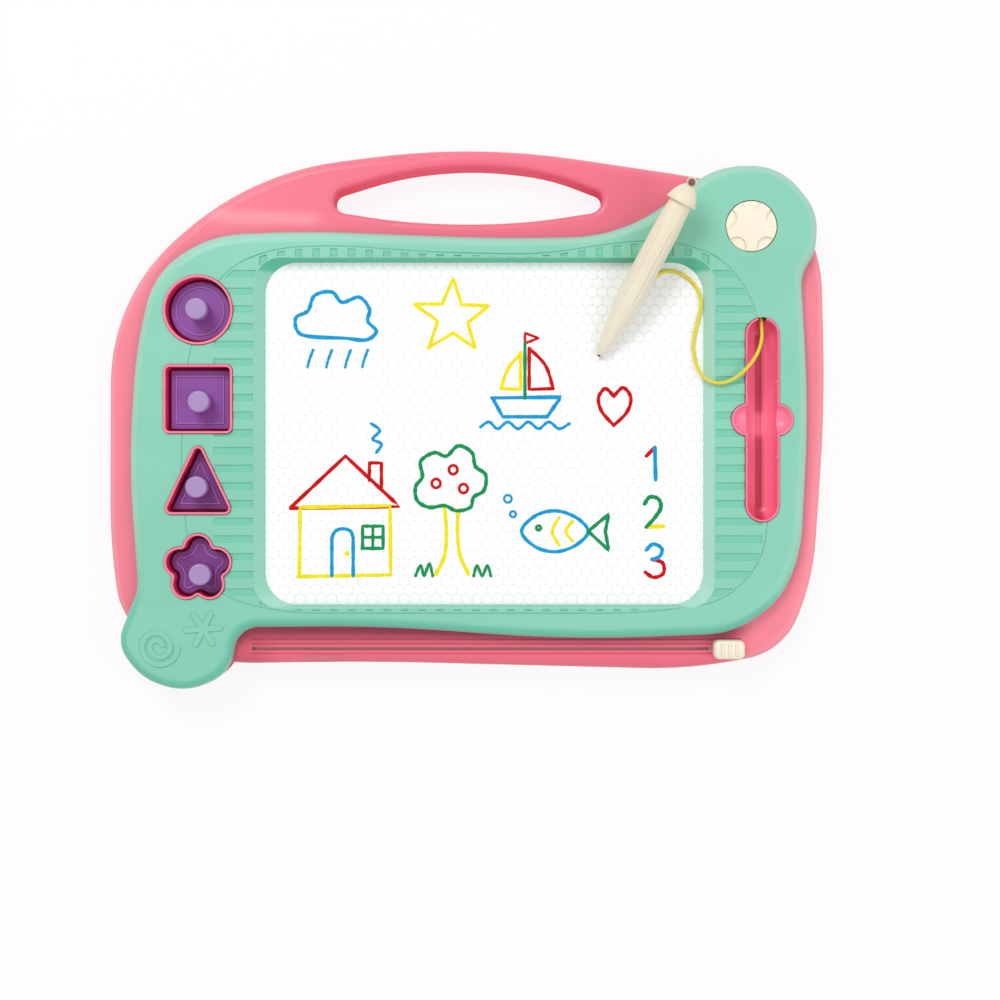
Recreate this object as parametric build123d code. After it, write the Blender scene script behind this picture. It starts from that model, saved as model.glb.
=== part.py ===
from build123d import *
import os
from math import cos, pi, radians, sin, sqrt, tan

os.makedirs("parts", exist_ok=True)

# Overall sizes of the board, lying on its back with the screen up. Millimetres.
body_width = 420.4
body_height = 301.0
body_centre_y = 7.54
body_depth = 20.0
body_round = 6.0
back_round = 0.8
wall = 2.2
overrun = 1.0
corner_share = 0.47

# Clearances
seam_gap = 0.3
running_gap = 0.3
snug_gap = 0.1

# Tangent points of the body outline, as shares of its half width and half height,
# anticlockwise from the lower left side
body_outline_shares = (
    (-0.968, -0.876), (-0.714, -1.009), (-0.285, -0.999), (0.620, -1.031),
    (0.890, -0.962), (0.972, -0.668), (1.005, 0.014), (0.994, 0.586),
    (0.904, 0.825), (0.657, 0.896), (0.020, 1.029), (-0.603, 0.915),
    (-1.000, 0.434), (-1.002, -0.530),
)

# Carrying handle hole, a lens with rounded ends
handle_hole_width = 159.0
handle_hole_height = 34.0
handle_hole_x = 0.8
handle_hole_y = 131.2
handle_hole_round = 3.4
handle_wall = 2.8
handle_hole_shares = (
    (-1.005, 0.090), (-0.500, 0.830), (0.050, 1.075), (0.600, 0.790),
    (1.010, 0.050), (0.965, -0.560), (0.480, -0.910), (-0.010, -1.010),
    (-0.510, -0.900), (-0.980, -0.560),
)

# Front bezel
bezel_width = 406.0
bezel_height = 305.6
bezel_centre_y = -5.66
bezel_depth = 10.0
bezel_round = 7.0
bezel_wall = 2.2
lobe_inset = 0.5
bezel_outline_shares = (
    (-0.946, -0.618), (-0.970, -0.694), (-1.008, -0.826), (-0.935, -0.960),
    (-0.808, -1.012), (-0.680, -0.938), (-0.662, -0.762), (-0.246, -0.757),
    (0.296, -0.810), (0.768, -0.786), (0.906, -0.655), (0.962, -0.472),
    (0.984, 0.068), (0.962, 0.588), (1.004, 0.672), (1.010, 0.828),
    (0.902, 1.002), (0.718, 1.004), (0.453, 0.735), (0.099, 0.725),
    (-0.468, 0.754), (-0.739, 0.737), (-0.900, 0.592), (-0.951, 0.311),
    (-0.973, -0.128),
)

# Screen window and the sloping edge round it
window_width = 256.0
window_height = 200.0
window_x = 10.3
window_y = -8.8
window_corner = 18.5
window_bevel_side = 5.5
window_bevel_end = 1.7
window_bevel_corner = 15.0

# Fine groove line that frames the ribbed band, and the ribs
panel_width = 344.0
panel_height = 216.0
panel_x = 6.0
panel_y = -5.2
panel_line_width = 0.7
panel_line_depth = 0.5
panel_outline_shares = (
    (-1.000, -0.300), (-0.965, -0.740), (-0.850, -0.925), (-0.640, -1.003),
    (0.560, -1.003), (0.830, -0.945), (0.965, -0.730), (1.000, -0.230),
    (0.975, 0.410), (0.924, 0.715), (0.826, 0.914), (0.651, 1.006),
    (0.459, 0.988), (0.226, 0.926), (-0.150, 0.936), (-0.470, 0.976),
    (-0.686, 0.960), (-0.848, 0.853), (-0.942, 0.600), (-0.990, 0.230),
)
rib_pitch = 10.27
rib_groove_width = 4.2
rib_groove_depth = 0.7
rib_inset = 1.3
rib_bevel_margin = 1.0
rib_rows = 19
rib_columns = 26
rib_band_left = 29.3

# Screen panel: two films either side of the cell core
film_thickness = 0.5
core_thickness = 1.5
screen_margin_left = 15.7
screen_margin_right = 18.1
screen_margin_end = 8.0
screen_corner = 4.0
seat_left = 3.2
seat_right = 4.0
seat_end = 3.2

# Eraser slider under the screen
eraser_bar_width = 10.0
eraser_shoe_depth = 3.5
eraser_shoe_reach = 7.0
eraser_magnet_width = 7.0
eraser_magnet_depth = 1.6
eraser_magnet_margin = 4.0
eraser_knob_offset = 6.0
eraser_knob_length = 18.0
eraser_knob_width = 11.0
eraser_knob_height = 8.0
eraser_knob_round = 2.2
eraser_knob_corner = 3.3
eraser_knob_ridges = 3
eraser_knob_ridge_pitch = 4.2
eraser_knob_ridge_radius = 0.9
eraser_web_length = 14.0
eraser_web_thickness = 1.1
eraser_arm_thickness = 1.4
eraser_web_grip = 5.0
slot_y = -135.0
slot_width = 1.9
ledge_line_pitch = 2.8
ledge_line_width = 0.7
ledge_line_depth = 0.5
ledge_lines_above = 2
ledge_lines_below = 1
rail_thickness = 1.8
slot_rail_width = 6.4

# Stamps and their wells down the left side
well_x = -155.9
well_wall = 1.3
well_rise = 1.0
well_floor_top = 14.0
well_floor = 1.6
insert_flange = 1.8
insert_flange_thickness = 1.4
stamp_gap = 1.4
stamp_base_depth = 8.5
stamp_base_round = 0.8
stamp_rim_inset = 3.2
stamp_rim_width = 0.7
stamp_rim_height = 0.6
peg_diameter = 12.4
peg_height = 14.0
peg_round = 1.2
stamp_magnet_inset = 5.0
stamp_magnet_depth = 2.0
circle_well_diameter = 37.7
circle_well_y = 62.6
square_well_side = 37.4
square_well_corner = 2.4
square_well_y = 10.9
triangle_well_base = 38.4
triangle_well_height = 40.3
triangle_well_corner = 2.4
triangle_well_y = -54.8
flower_well_ring = 11.4
flower_petal_radius = 7.5
flower_web_radius = 3.0
flower_well_y = -87.3
flower_petals = 5
flower_turn = 90.0
flower_peg_shift_x = 2.0
flower_peg_shift_y = -3.4
square_peg_shift_x = 1.4
square_peg_shift_y = -1.8
triangle_peg_rise = 14.6

# Pen tray on the right side
tray_x = 171.65
tray_y = -1.1
tray_length = 118.6
tray_width = 19.7
tray_wall = 1.1
tray_rise = 0.8
tray_floor_top = 15.5
tray_floor = 2.4
tray_bottom_round = 8.0
tray_groove_width = 2.8
tray_groove_depth = 1.1
tray_groove_margin = 9.0
dimple_spacing = 17.4
dimple_radius = 9.3
dimple_scoop_radius = 9.2
dimple_depth = 6.6
nub_radius = 1.1
nub_drop = 2.2
nub_spacing = 44.0
notch_width = 5.0
notch_depth = 7.8

# Corner dial
dial_x = 165.4
dial_y = 111.3
dial_radius = 14.7
dial_gap = 0.5
dial_rise = 0.5
dial_wall = 1.8
dial_round = 0.8
dial_scallops = 5
dial_scallop_radius = 5.6
dial_scallop_depth = 1.4
dial_scallop_turn = 18.0
dial_hub_radius = 5.0
dial_axle_radius = 3.0
dial_axle_gap = 0.06
dial_pilot_radius = 1.1
dial_washer_radius = 6.0
dial_washer_thickness = 1.0

# Pen
pen_length = 111.0
pen_tip_x = 77.5
pen_tip_y = 37.1
pen_heading = 27.9
pen_tilt = 14.5
pen_tip_lift = 2.65
pen_tip_radius = 1.8
pen_barrel_radius = 7.8
pen_taper_shares = (
    (0.030, 0.400), (0.060, 0.495), (0.132, 0.655), (0.226, 0.835), (0.297, 0.960), (0.400, 1.000),
)
pen_neck_start_share = 0.72
pen_neck_radius = 6.5
pen_cap_length = 12.8
pen_collar_radius = 9.0
pen_collar_depth = 1.4
pen_collar_step = 0.5
pen_dome_radius = 2.6
pen_dome_shoulder_share = 0.74
pen_plug_radius = 4.6
pen_plug_length = 9.0
pen_flutes = 6
pen_flute_radius = 1.4
pen_flute_depth = 0.5
pen_magnet_radius = 1.1
pen_magnet_length = 5.0
pen_magnet_show = 1.1
eyelet_outer = 3.0
eyelet_bore = 1.4
eyelet_thickness = 2.6
eyelet_sink = 1.0

# Cord
cord_diameter = 2.0
cord_bend_share = 0.45
cord_end_drop = 2.8
pen_knot_radius = 2.0
anchor_knot_radius = 3.0
knot_seat = 0.3

# Screws
screw_head_radius = 2.7
screw_head_depth = 1.6
screw_shank_radius = 1.25
screw_socket_width = 0.9
screw_socket_length = 3.2
post_radius = 3.6
cover_thickness = 2.0
cover_pad = 2.0
cover_pad_radius = 5.0
head_gap = 0.3
pilot_gap = 0.05
cover_screw_depth = 9.0
bezel_boss_radius = 3.3
bezel_screw_depth = 5.5
cover_screw_shares = (
    (-0.533, 0.754), (0.490, 0.767), (0.904, 0.541), (0.947, -0.024),
    (0.837, -0.788), (-0.752, -0.947), (-0.918, 0.189), (-0.918, -0.475),
)
bezel_screw_shares = (
    (-0.700, 0.672), (0.820, 0.561), (0.934, 0.260), (0.934, -0.264),
    (0.823, -0.565), (-0.704, -0.706), (-0.916, 0.278), (-0.916, -0.369),
)

# Raised swirl and star on the lower left lobe
swirl_x = -178.9
swirl_y = -132.9
swirl_radius = 11.5
swirl_start_radius = 2.6
swirl_turns = 2
swirl_line = 2.8
relief_height = 0.7
star_x = -152.8
star_y = -122.6
star_reach = 23.0
star_line = 3.2
star_arms = 3
star_turn = 4.0


# Heights worked out from the sizes above
deck_z = body_depth
deck_under_z = deck_z - wall
screen_top_z = deck_z + 2 * film_thickness + core_thickness
bezel_top_z = deck_z + bezel_depth
bezel_under_z = bezel_top_z - bezel_wall
window_left = window_x - window_width / 2
window_right = window_x + window_width / 2
window_bottom = window_y - window_height / 2
window_top = window_y + window_height / 2
screen_left = window_left - screen_margin_left
screen_right = window_right + screen_margin_right
screen_bottom = window_bottom - screen_margin_end
screen_top = window_top + screen_margin_end


def at(x, y, z=0):
    return Pos(x, y, z)


def smooth_outline(points):
    """Closed face of straight runs joined by the largest arcs that fit."""
    radii = []
    for index, corner in enumerate(points):
        before = points[index - 1]
        after = points[(index + 1) % len(points)]
        run_in = Vector(*corner) - Vector(*before)
        run_out = Vector(*after) - Vector(*corner)
        turn = radians(run_in.get_angle(run_out))
        shorter = min(run_in.length, run_out.length)
        radii.append(corner_share * shorter / tan(turn / 2))
    return make_face(FilletPolyline(*points, radius=radii, close=True))


def outline_points(shares, width, height, x=0, y=0):
    return [(x + sx * width / 2, y + sy * height / 2) for sx, sy in shares]


def body_face():
    return smooth_outline(outline_points(body_outline_shares, body_width, body_height, 0, body_centre_y))


def bezel_face():
    return smooth_outline(outline_points(bezel_outline_shares, bezel_width, bezel_height, 0, bezel_centre_y))


def handle_hole_face():
    return smooth_outline(outline_points(
        handle_hole_shares, handle_hole_width, handle_hole_height, handle_hole_x, handle_hole_y))


def panel_face():
    return smooth_outline(outline_points(panel_outline_shares, panel_width, panel_height, panel_x, panel_y))


def slab(face, low, high):
    return at(0, 0, low) * extrude(face, high - low)


def rounded_slab(face, low, high, top_round=0, bottom_round=0):
    block = slab(face, low, high)
    if top_round:
        block = fillet(block.edges().group_by(Axis.Z)[-1], top_round)
    if bottom_round:
        block = fillet(block.edges().group_by(Axis.Z)[0], bottom_round)
    return block


def rounded_box(width, height, corner, x, y):
    return Pos(x, y) * RectangleRounded(width, height, corner)


def span_box(left, right, bottom, top, low, high):
    """Block between two places on each axis."""
    centre = at((left + right) / 2, (bottom + top) / 2, (low + high) / 2)
    return centre * Box(right - left, top - bottom, high - low)


def pin(radius, x, y, low, high):
    return at(x, y, (low + high) / 2) * Cylinder(radius, high - low)


def lobe_seat_face():
    """The body's columns under the bezel's two lobes."""
    return offset(bezel_face(), -lobe_inset)


# The four wells and their stamps
def circle_shape():
    return Pos(well_x, circle_well_y) * Circle(circle_well_diameter / 2)


def square_shape():
    return rounded_box(square_well_side, square_well_side, square_well_corner, well_x, square_well_y)


def triangle_shape():
    half = triangle_well_base / 2
    outline = Polygon((-half, 0), (half, 0), (0, triangle_well_height), align=None)
    outline = fillet(outline.vertices(), triangle_well_corner)
    return Pos(well_x, triangle_well_y) * outline


def flower_shape():
    outline = Circle(flower_well_ring)
    for petal in PolarLocations(flower_well_ring, flower_petals, start_angle=flower_turn):
        outline += petal * Circle(flower_petal_radius)
    outline = fillet(outline.vertices(), flower_web_radius)
    return Pos(well_x, flower_well_y) * outline


wells = {
    "circle": (circle_shape, well_x, circle_well_y),
    "square": (square_shape, well_x + square_peg_shift_x, square_well_y + square_peg_shift_y),
    "triangle": (triangle_shape, well_x, triangle_well_y + triangle_peg_rise),
    "flower": (flower_shape, well_x + flower_peg_shift_x, flower_well_y + flower_peg_shift_y),
}
well_rim_z = bezel_top_z + well_rise
stamp_bottom_z = well_floor_top + running_gap
stamp_top_z = stamp_bottom_z + stamp_base_depth


def well_cup(shape):
    """Cup that drops through the body's deck and rests on it by a thin flange."""
    cup = slab(offset(shape, well_wall), well_floor_top - well_floor, well_rim_z)
    cup += slab(offset(shape, well_wall + insert_flange), deck_z, deck_z + insert_flange_thickness)
    return cup - slab(shape, well_floor_top, well_rim_z + overrun)


def stamp(shape, peg_x, peg_y):
    plate = offset(shape, -stamp_gap)
    solid = rounded_slab(plate, stamp_bottom_z, stamp_top_z, stamp_base_round)
    rim = offset(plate, -stamp_rim_inset) - offset(plate, -stamp_rim_inset - stamp_rim_width)
    solid += slab(rim, stamp_top_z, stamp_top_z + stamp_rim_height)
    peg = pin(peg_diameter / 2, peg_x, peg_y, stamp_top_z - overrun, stamp_top_z + peg_height)
    solid += fillet(peg.edges().group_by(Axis.Z)[-1], peg_round)
    pocket = offset(plate, -stamp_magnet_inset + snug_gap)
    return solid - slab(pocket, stamp_bottom_z - overrun, stamp_bottom_z + stamp_magnet_depth)


def stamp_magnet(shape):
    plate = offset(shape, -stamp_gap - stamp_magnet_inset)
    return slab(plate, stamp_bottom_z, stamp_bottom_z + stamp_magnet_depth)


# Pen tray
tray_rim_z = bezel_top_z + tray_rise
tray_top_y = tray_y + tray_length / 2


def trough_face(inset=0):
    return Pos(tray_x, tray_y) * Rot(0, 0, 90) * SlotOverall(tray_length - 2 * inset, tray_width - 2 * inset)


def tray_outer_face():
    outline = trough_face()
    for side in (-1, 1):
        outline += Pos(tray_x + side * dimple_spacing / 2, tray_y) * Circle(dimple_radius)
    return outline


def pen_tray():
    """Trough with two finger scoops, which rests on the deck by a thin flange."""
    tray = slab(trough_face(), tray_floor_top - tray_floor, tray_rim_z)
    tray += slab(tray_outer_face(), tray_rim_z - dimple_depth, tray_rim_z)
    tray += slab(trough_face(-insert_flange), deck_z, deck_z + insert_flange_thickness)
    tray -= tray_pocket()
    for nub in tray_nubs():
        tray += nub
    return tray


def tray_pocket():
    hollow = rounded_slab(trough_face(tray_wall), tray_floor_top, tray_rim_z + overrun, 0, tray_bottom_round)
    groove_reach = tray_length / 2 - tray_groove_margin
    hollow += span_box(tray_x - tray_groove_width / 2, tray_x + tray_groove_width / 2,
                       tray_y - groove_reach, tray_y + groove_reach,
                       tray_floor_top - tray_groove_depth, tray_floor_top + tray_groove_width)
    lift = sqrt(dimple_scoop_radius ** 2 - (dimple_radius - tray_wall) ** 2)
    for side in (-1, 1):
        scoop = at(tray_x + side * dimple_spacing / 2, tray_y, tray_rim_z + lift)
        hollow += scoop * Sphere(dimple_scoop_radius)
    hollow += span_box(tray_x - notch_width / 2, tray_x + notch_width / 2,
                       tray_top_y - tray_width / 2, tray_top_y + overrun,
                       tray_rim_z - notch_depth, tray_rim_z + overrun)
    return hollow


def tray_nubs():
    """Four small bumps that hold the pen down in the tray."""
    reach = tray_width / 2 - tray_wall
    nubs = []
    for side in (-1, 1):
        for end in (-1, 1):
            place = at(tray_x + side * reach, tray_y + end * nub_spacing / 2, tray_rim_z - nub_drop)
            nubs.append(place * Sphere(nub_radius))
    return nubs


# Deck opening under the screen, and the eraser that runs across it
opening_left = screen_left + seat_left
opening_right = screen_right - seat_right
opening_bottom = screen_bottom + seat_end
opening_top = screen_top - seat_end
shoe_top_z = deck_under_z - running_gap
shoe_bottom_z = shoe_top_z - eraser_shoe_depth
arm_bottom_z = shoe_top_z - eraser_arm_thickness
bar_top_z = deck_z - running_gap
bar_x = opening_right - running_gap - eraser_bar_width / 2
bar_x_left = opening_left + running_gap + eraser_bar_width / 2
knob_x = bar_x + eraser_knob_offset
bar_bottom = opening_bottom + running_gap
bar_top = opening_top - running_gap
slot_left = bar_x_left + eraser_knob_offset - eraser_web_length / 2 - running_gap
slot_right = knob_x + eraser_web_length / 2 + running_gap


def eraser_bar():
    bar = span_box(bar_x - eraser_bar_width / 2, bar_x + eraser_bar_width / 2,
                   bar_bottom, bar_top, shoe_bottom_z, bar_top_z)
    bar += span_box(bar_x - eraser_bar_width / 2, bar_x + eraser_bar_width / 2,
                    bar_bottom - eraser_shoe_reach, bar_top + eraser_shoe_reach,
                    shoe_bottom_z, shoe_top_z)
    bar += span_box(bar_x - eraser_bar_width / 2, knob_x + eraser_web_length / 2,
                    slot_y - eraser_web_thickness, bar_bottom,
                    arm_bottom_z, shoe_top_z)
    bar += span_box(knob_x - eraser_web_length / 2, knob_x + eraser_web_length / 2,
                    slot_y - eraser_web_thickness / 2, slot_y + eraser_web_thickness / 2,
                    arm_bottom_z, deck_z + running_gap + eraser_web_grip)
    return bar - magnet_strip(snug_gap)


def magnet_strip(gap=0):
    half = eraser_magnet_width / 2 + gap
    return span_box(bar_x - half, bar_x + half,
                    bar_bottom + eraser_magnet_margin - gap, bar_top - eraser_magnet_margin + gap,
                    bar_top_z - eraser_magnet_depth, bar_top_z + (overrun if gap else 0))


def eraser_knob():
    base_z = deck_z + running_gap
    top_z = base_z + eraser_knob_height
    plan = rounded_box(eraser_knob_length, eraser_knob_width, eraser_knob_corner, knob_x, slot_y)
    knob = rounded_slab(plan, base_z, top_z, eraser_knob_round)
    ridge_length = eraser_knob_width - 2 * eraser_knob_round
    for index in range(eraser_knob_ridges):
        shift = (index - (eraser_knob_ridges - 1) / 2) * eraser_knob_ridge_pitch
        ridge = Rot(90, 0, 0) * Cylinder(eraser_knob_ridge_radius, ridge_length)
        knob += at(knob_x + shift, slot_y, top_z) * ridge
    web = span_box(knob_x - eraser_web_length / 2 - snug_gap, knob_x + eraser_web_length / 2 + snug_gap,
                   slot_y - eraser_web_thickness / 2 - snug_gap, slot_y + eraser_web_thickness / 2 + snug_gap,
                   base_z - overrun, base_z + eraser_web_grip)
    return knob - web


# Screws: rear cover screws go up into the body's posts, bezel screws into the bezel's bosses
cover_screw_places = outline_points(cover_screw_shares, body_width, body_height, 0, body_centre_y)
bezel_screw_places = outline_points(bezel_screw_shares, bezel_width, bezel_height, 0, bezel_centre_y)
cover_head_z = cover_thickness
post_foot_z = cover_thickness + cover_pad


def screw(x, y, head_z, length):
    """Pan head screw with a cross recess, its head below head_z and its shank above."""
    head = Cylinder(screw_head_radius, screw_head_depth, align=(Align.CENTER, Align.CENTER, Align.MAX))
    head = fillet(head.edges().group_by(Axis.Z)[0], screw_head_depth / 2)
    for long, wide in ((screw_socket_length, screw_socket_width), (screw_socket_width, screw_socket_length)):
        head -= Pos(0, 0, -screw_head_depth) * Box(long, wide, screw_head_depth)
    shank = Cylinder(screw_shank_radius, length, align=(Align.CENTER, Align.CENTER, Align.MIN))
    return at(x, y, head_z) * (head + shank)


def main_body():
    shell = slab(body_face(), 0, deck_z) - slab(handle_hole_face(), -overrun, deck_z + overrun)
    top = shell.faces().sort_by(Axis.Z)[-1]
    hole_edges = top.inner_wires()[0].edges()
    shell = fillet(hole_edges, handle_hole_round)
    top = shell.faces().sort_by(Axis.Z)[-1]
    shell = fillet(top.outer_wire().edges(), body_round)
    shell = fillet(shell.edges().group_by(Axis.Z)[0], back_round)
    shell += rounded_slab(lobe_seat_face(), 0, deck_z, 0, back_round)
    hollow = rounded_slab(offset(body_face(), -wall), -overrun, deck_under_z, body_round - wall)
    hollow += slab(offset(lobe_seat_face(), -wall), -overrun, deck_under_z)
    hollow -= slab(offset(handle_hole_face(), handle_wall), -2 * overrun, deck_z)
    shell -= hollow
    for place in cover_screw_places:
        shell += pin(post_radius, *place, post_foot_z, deck_under_z + overrun)
        shell -= pin(screw_shank_radius + pilot_gap, *place, 0, cover_head_z + cover_screw_depth + overrun)
    for shape, peg_x, peg_y in wells.values():
        shell -= slab(offset(shape(), well_wall + snug_gap), deck_under_z - overrun, deck_z + overrun)
    shell -= slab(trough_face(-snug_gap), deck_under_z - overrun, deck_z + overrun)
    shell -= span_box(opening_left, opening_right, opening_bottom, opening_top,
                      deck_under_z - overrun, deck_z + overrun)
    shell -= span_box(slot_left, slot_right, slot_y - slot_width / 2, slot_y + slot_width / 2,
                      deck_under_z - overrun, deck_z + overrun)
    for step in range(-ledge_lines_below, ledge_lines_above + 1):
        line_y = slot_y + step * ledge_line_pitch
        half = ledge_line_width / 2
        if step:
            shell -= span_box(slot_left, slot_right, line_y - half, line_y + half,
                              deck_z - ledge_line_depth, deck_z + overrun)
    for place in bezel_screw_places:
        shell -= pin(screw_shank_radius + running_gap, *place, deck_under_z - overrun, deck_z + overrun)
    shell -= pin(dial_axle_radius + dial_axle_gap, dial_x, dial_y, deck_under_z - overrun, deck_z + overrun)
    return shell


def window_frame(width_extra, height_extra, corner):
    return rounded_box(window_width + 2 * width_extra, window_height + 2 * height_extra, corner,
                       window_x, window_y)


def front_bezel():
    shell = rounded_slab(bezel_face(), deck_z, bezel_top_z, bezel_round)
    hollow = rounded_slab(offset(bezel_face(), -bezel_wall), deck_z - overrun, bezel_under_z,
                          bezel_round - bezel_wall)
    backing = window_frame(window_bevel_side + bezel_wall, window_bevel_end + bezel_wall,
                           window_bevel_corner + bezel_wall)
    hollow -= slab(backing, screen_top_z, bezel_top_z)
    shell -= hollow
    lower = at(0, 0, screen_top_z) * window_frame(0, 0, window_corner)
    upper = at(0, 0, bezel_top_z) * window_frame(window_bevel_side, window_bevel_end, window_bevel_corner)
    shell -= loft([lower, upper], ruled=True)
    for place in bezel_screw_places:
        shell += pin(bezel_boss_radius, *place, deck_z, bezel_under_z + overrun)
        shell -= pin(screw_shank_radius + pilot_gap, *place, deck_z - overrun,
                     deck_z + bezel_screw_depth + overrun)
    for shape, peg_x, peg_y in wells.values():
        shell -= slab(offset(shape(), well_wall + seam_gap), deck_z - overrun, bezel_top_z + overrun)
    shell -= slab(offset(tray_outer_face(), seam_gap), deck_z - overrun, bezel_top_z + overrun)
    shell -= pin(dial_radius + dial_gap, dial_x, dial_y, deck_z, bezel_top_z + overrun)
    shell -= panel_line()
    for groove in rib_grooves():
        shell -= groove
    return shell + relief()


def panel_line():
    half = panel_line_width / 2
    ring = offset(panel_face(), half) - offset(panel_face(), -half)
    return slab(ring, bezel_top_z - panel_line_depth, bezel_top_z + overrun)


def rib_grooves():
    """Shallow grooves that run from the window's edge to the panel line."""
    low = bezel_top_z - rib_groove_depth
    high = bezel_top_z + overrun
    edge = window_frame(window_bevel_side + rib_bevel_margin, window_bevel_end + rib_bevel_margin,
                        window_bevel_corner + rib_bevel_margin)
    field = slab(offset(panel_face(), -rib_inset) - edge, low, high)
    half = rib_groove_width / 2
    grooves = []
    for row in range(rib_rows):
        y = window_y + (row - (rib_rows - 1) / 2) * rib_pitch
        grooves.append(span_box(window_left - rib_band_left, tray_x, y - half, y + half, low, high) & field)
    reach = panel_height / 2
    for column in range(rib_columns):
        x = window_x + (column - (rib_columns - 1) / 2) * rib_pitch
        grooves.append(span_box(x - half, x + half, panel_y - reach, panel_y + reach, low, high) & field)
    return grooves


def relief():
    """Raised swirl and star on the lower left lobe."""
    low = bezel_top_z - relief_height
    high = bezel_top_z + relief_height
    steps = 2 * swirl_turns
    pitch = (swirl_radius - swirl_start_radius) / steps
    curve = []
    side = 1
    radius = swirl_start_radius
    start = swirl_x + radius
    for step in range(steps):
        bend = radius + pitch / 2
        end = start - side * 2 * bend
        middle = (start + end) / 2
        curve.append(ThreePointArc((start, swirl_y), (middle, swirl_y + side * bend), (end, swirl_y)))
        start = end
        side = -side
        radius += pitch
    swirl = trace(Wire(curve), swirl_line)
    star = Sketch()
    for arm in range(star_arms):
        turn = star_turn + 180 * arm / star_arms
        star += Pos(star_x, star_y) * Rot(0, 0, turn) * SlotOverall(star_reach, star_line)
    return slab(swirl, low, high) + slab(star, low, high)


def rear_cover():
    edge = wall + seam_gap
    plate = slab(offset(body_face(), -edge), 0, cover_thickness)
    plate += slab(offset(lobe_seat_face(), -edge), 0, cover_thickness)
    plate -= slab(offset(handle_hole_face(), handle_wall + seam_gap), -overrun, cover_thickness + overrun)
    for rail_y in (opening_top + eraser_shoe_reach / 2, opening_bottom - eraser_shoe_reach / 2):
        plate += span_box(opening_left, opening_right, rail_y - rail_thickness / 2,
                          rail_y + rail_thickness / 2, cover_thickness, shoe_bottom_z - running_gap)
    half = slot_rail_width / 2
    inner = half - rail_thickness
    rail_top = arm_bottom_z - running_gap
    plate += span_box(slot_left, slot_right, slot_y - half, slot_y + half, 0, rail_top)
    plate -= span_box(slot_left + rail_thickness, slot_right - rail_thickness,
                      slot_y - inner, slot_y + inner, -overrun, rail_top - rail_thickness)
    for place in cover_screw_places:
        plate += pin(cover_pad_radius, *place, cover_thickness, post_foot_z)
        plate -= pin(screw_head_radius + head_gap, *place, -overrun, cover_head_z)
        plate -= pin(screw_shank_radius + running_gap, *place, 0, post_foot_z + overrun)
    return plate


def screen_sheet(low, high):
    return slab(rounded_box(screen_right - screen_left, screen_top - screen_bottom, screen_corner,
                            (screen_left + screen_right) / 2, (screen_bottom + screen_top) / 2), low, high)


# Corner dial, its washer and its screw
dial_bottom_z = deck_z + running_gap
dial_top_z = bezel_top_z + dial_rise
axle_foot_z = deck_under_z - running_gap
washer_foot_z = axle_foot_z - dial_washer_thickness


def corner_dial():
    disc = pin(dial_radius, dial_x, dial_y, dial_bottom_z, dial_top_z)
    disc = fillet(disc.edges().group_by(Axis.Z)[-1], dial_round)
    disc -= pin(dial_radius - dial_wall, dial_x, dial_y, dial_bottom_z - overrun,
                dial_top_z - dial_scallop_depth - dial_wall)
    for scallop in PolarLocations(dial_radius, dial_scallops, start_angle=dial_scallop_turn):
        bite = Pos(dial_x, dial_y) * scallop * Circle(dial_scallop_radius)
        disc -= slab(bite, dial_top_z - dial_scallop_depth, dial_top_z + overrun)
    disc += pin(dial_hub_radius, dial_x, dial_y, dial_bottom_z, dial_top_z - dial_wall)
    disc += pin(dial_axle_radius, dial_x, dial_y, axle_foot_z, dial_bottom_z + overrun)
    return disc - pin(dial_pilot_radius, dial_x, dial_y, axle_foot_z - overrun, dial_bottom_z + overrun)


def dial_washer():
    washer = pin(dial_washer_radius, dial_x, dial_y, washer_foot_z, axle_foot_z)
    return washer - pin(dial_pilot_radius, dial_x, dial_y, washer_foot_z - overrun, axle_foot_z + overrun)


def dial_screw():
    head = pin(screw_head_radius, dial_x, dial_y, washer_foot_z - screw_head_depth, washer_foot_z)
    head = fillet(head.edges().group_by(Axis.Z)[0], screw_head_depth / 2)
    shank_radius = dial_pilot_radius - pilot_gap
    return head + pin(shank_radius, dial_x, dial_y, washer_foot_z - overrun / 2, dial_bottom_z)


# Pen, built along its own axis from the tip and then laid on the board
pen_tip_z = screen_top_z + pen_tip_lift
pen_across = (cos(radians(pen_heading)), -sin(radians(pen_heading)), 0)
pen_along = (sin(radians(pen_heading)) * cos(radians(pen_tilt)),
             cos(radians(pen_heading)) * cos(radians(pen_tilt)), sin(radians(pen_tilt)))
pen_place = Plane(origin=(pen_tip_x, pen_tip_y, pen_tip_z), x_dir=pen_across, z_dir=pen_along).location
barrel_end = pen_length - pen_cap_length


def turned(*edges):
    return revolve(Plane.XZ * make_face(edges), Axis.Z)


def pen_barrel():
    """Tapered barrel with shallow lengthwise flutes and a socket at each end."""
    taper = [(pen_tip_radius, 0)]
    taper += [(radius * pen_barrel_radius, along * pen_length) for along, radius in pen_taper_shares]
    neck_start = (pen_barrel_radius, pen_length * pen_neck_start_share)
    side = Spline(*taper)
    barrel = turned(side, Line(side @ 1, neck_start), Line(neck_start, (pen_neck_radius, barrel_end)),
                    Line((pen_neck_radius, barrel_end), (0, barrel_end)), Line((0, barrel_end), (0, 0)),
                    Line((0, 0), (pen_tip_radius, 0)))
    flute = Cylinder(pen_flute_radius, pen_length, align=(Align.CENTER, Align.CENTER, Align.MIN))
    for place in PolarLocations(pen_barrel_radius + pen_flute_radius - pen_flute_depth, pen_flutes):
        barrel -= place * flute
    plug = pin(pen_plug_radius + snug_gap, 0, 0, barrel_end - pen_plug_length - overrun, barrel_end + overrun)
    magnet = pin(pen_magnet_radius + snug_gap, 0, 0, -overrun, pen_magnet_length)
    return barrel - plug - magnet


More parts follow.
